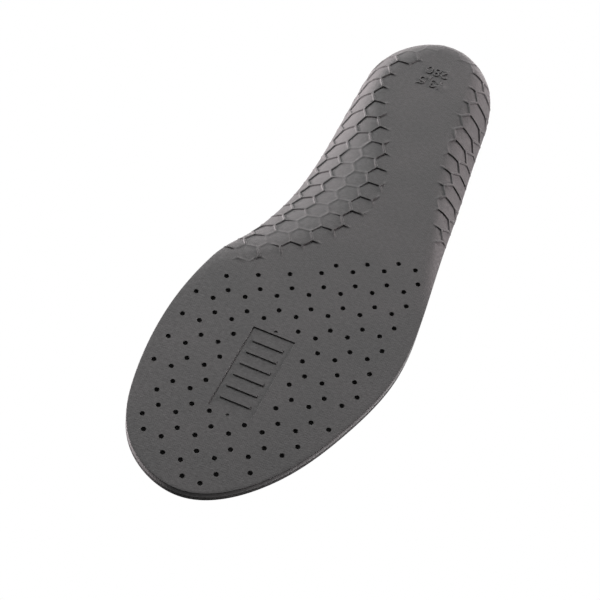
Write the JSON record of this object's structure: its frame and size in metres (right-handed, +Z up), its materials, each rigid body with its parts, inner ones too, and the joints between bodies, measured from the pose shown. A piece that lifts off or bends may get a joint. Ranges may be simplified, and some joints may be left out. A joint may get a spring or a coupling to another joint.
{
  "type": "shoe insole",
  "caption": "Right-foot shoe insole: moulded foam base with heel cup, raised arch and perforated forefoot, soft foam layer and knitted cover, flexing at the ball of the foot.",
  "frame": {"origin": "middle of the length, on the long axis, on the sole plane", "axes": "+Z up from the sole to the foot, +Y towards the toes, +X towards the outer (little-toe) side of the foot"},
  "size_m": [0.0977, 0.2882, 0.0201],
  "materials": {
    "base": "matte moulded closed-cell foam",
    "cushion": "matte open-cell foam",
    "cover": "fine knit"
  },
  "bodies": {
    "rearfoot": {"base_rearfoot": "base", "cushion_rearfoot": "cushion", "cover_rearfoot": "cover"},
    "forefoot": {"base_forefoot": "base", "cushion_forefoot": "cushion", "cover_forefoot": "cover"}
  },
  "joints": [
    {"name": "toe_flex", "type": "hinge", "parent": "rearfoot", "child": "forefoot", "pos_m": [0, 0.04789, 0.005], "axis": [1, 0, 0], "range_deg": [0, 50], "stiffness_Nm_per_rad": 0.05}
  ]
}
